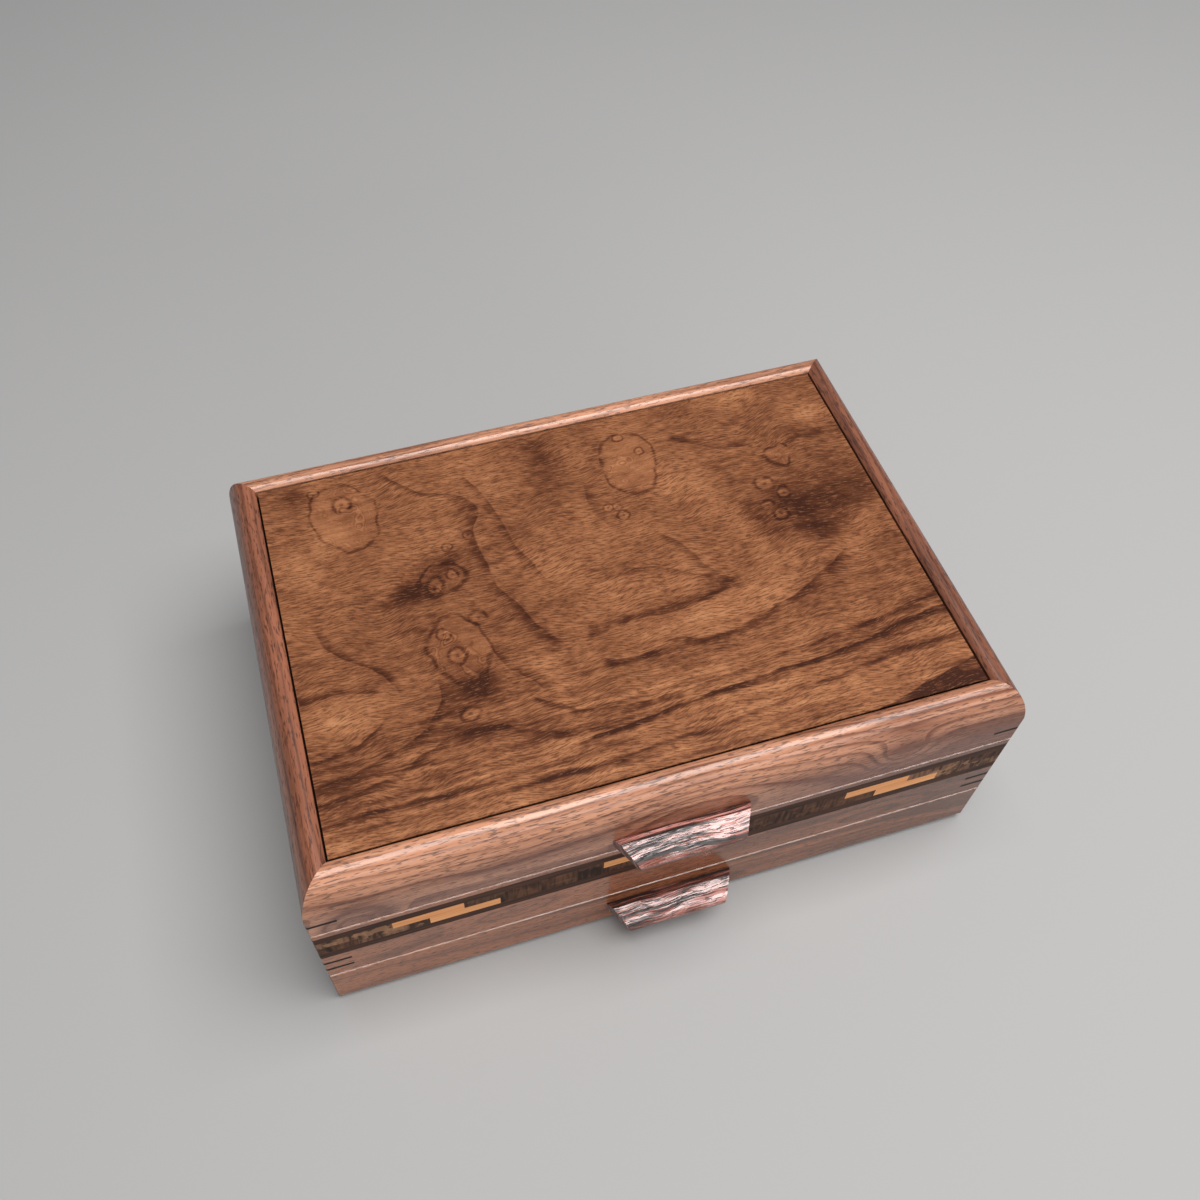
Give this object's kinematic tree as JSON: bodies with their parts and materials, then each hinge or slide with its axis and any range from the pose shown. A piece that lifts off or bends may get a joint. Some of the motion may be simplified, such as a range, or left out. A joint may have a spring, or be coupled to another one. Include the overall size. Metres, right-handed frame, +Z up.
{
  "type": "cufflink box with drawer",
  "caption": "Walnut cufflink box: hinged lid with a figured panel over a divided tray, inlay band, and a full-width drawer below.",
  "frame": {"origin": "middle of the felt's underside, on the surface that the box stands on", "axes": "+X along the length, to the right seen from the front; -Y to the front, where the drawer opens; +Z up"},
  "size_m": [0.254, 0.193, 0.0972],
  "materials": {
    "walnut": "hand-rubbed satin oil",
    "walnut_inside": "sealed, satin",
    "walnut_burl": "clear semi-gloss over figured walnut",
    "wenge": "satin",
    "core_wood": "satin, end grain",
    "tile_wood": "satin",
    "cherry": "satin",
    "striped_ebony": "polished",
    "spline_wood": "satin",
    "maple": "waxed",
    "board": "sanded plywood",
    "suede": "short nap",
    "felt": "felt",
    "brass": "brushed",
    "steel": "plated"
  },
  "bodies": {
    "case": {"case_front": "walnut", "case_back": "walnut", "case_left": "walnut", "case_right": "walnut", "case_splines": "spline_wood", "inlay_lines": "wenge", "inlay_core": "core_wood", "inlay_tiles": "tile_wood", "inlay_figures": "cherry", "tray_floor": "board", "tray_floor_lining": "suede", "tray_liners": "suede", "tray_dividers_long": "walnut_inside", "tray_dividers_cross": "walnut_inside", "case_bottom": "board", "bottom_screws": "steel", "base_felt": "felt", "drawer_runners": "maple", "hinge_leaves_case": "brass", "hinge_screws_case": "brass", "hinge_pins": "brass"},
    "lid": {"lid_rail_front": "walnut", "lid_rail_back": "walnut", "lid_rail_left": "walnut", "lid_rail_right": "walnut", "lid_splines": "spline_wood", "lid_panel_core": "board", "lid_panel_veneer": "walnut_burl", "lid_lining": "suede", "lid_pull": "striped_ebony", "hinge_leaves_lid": "brass", "hinge_screws_lid": "brass"},
    "drawer": {"drawer_front": "walnut", "drawer_side_left": "walnut_inside", "drawer_side_right": "walnut_inside", "drawer_back": "walnut_inside", "drawer_bottom": "board", "drawer_lining": "suede", "drawer_dividers": "walnut_inside", "drawer_pull": "striped_ebony", "drawer_stops": "maple"}
  },
  "joints": [
    {"name": "lid_hinge", "type": "hinge", "parent": "case", "child": "lid", "pos_m": [0, 0.0898, 0.0679], "axis": [-1, 0, 0], "range_deg": [0, 95]},
    {"name": "drawer_slide", "type": "slide", "parent": "case", "child": "drawer", "axis": [0, -1, 0], "range_m": [0, 0.12]}
  ]
}
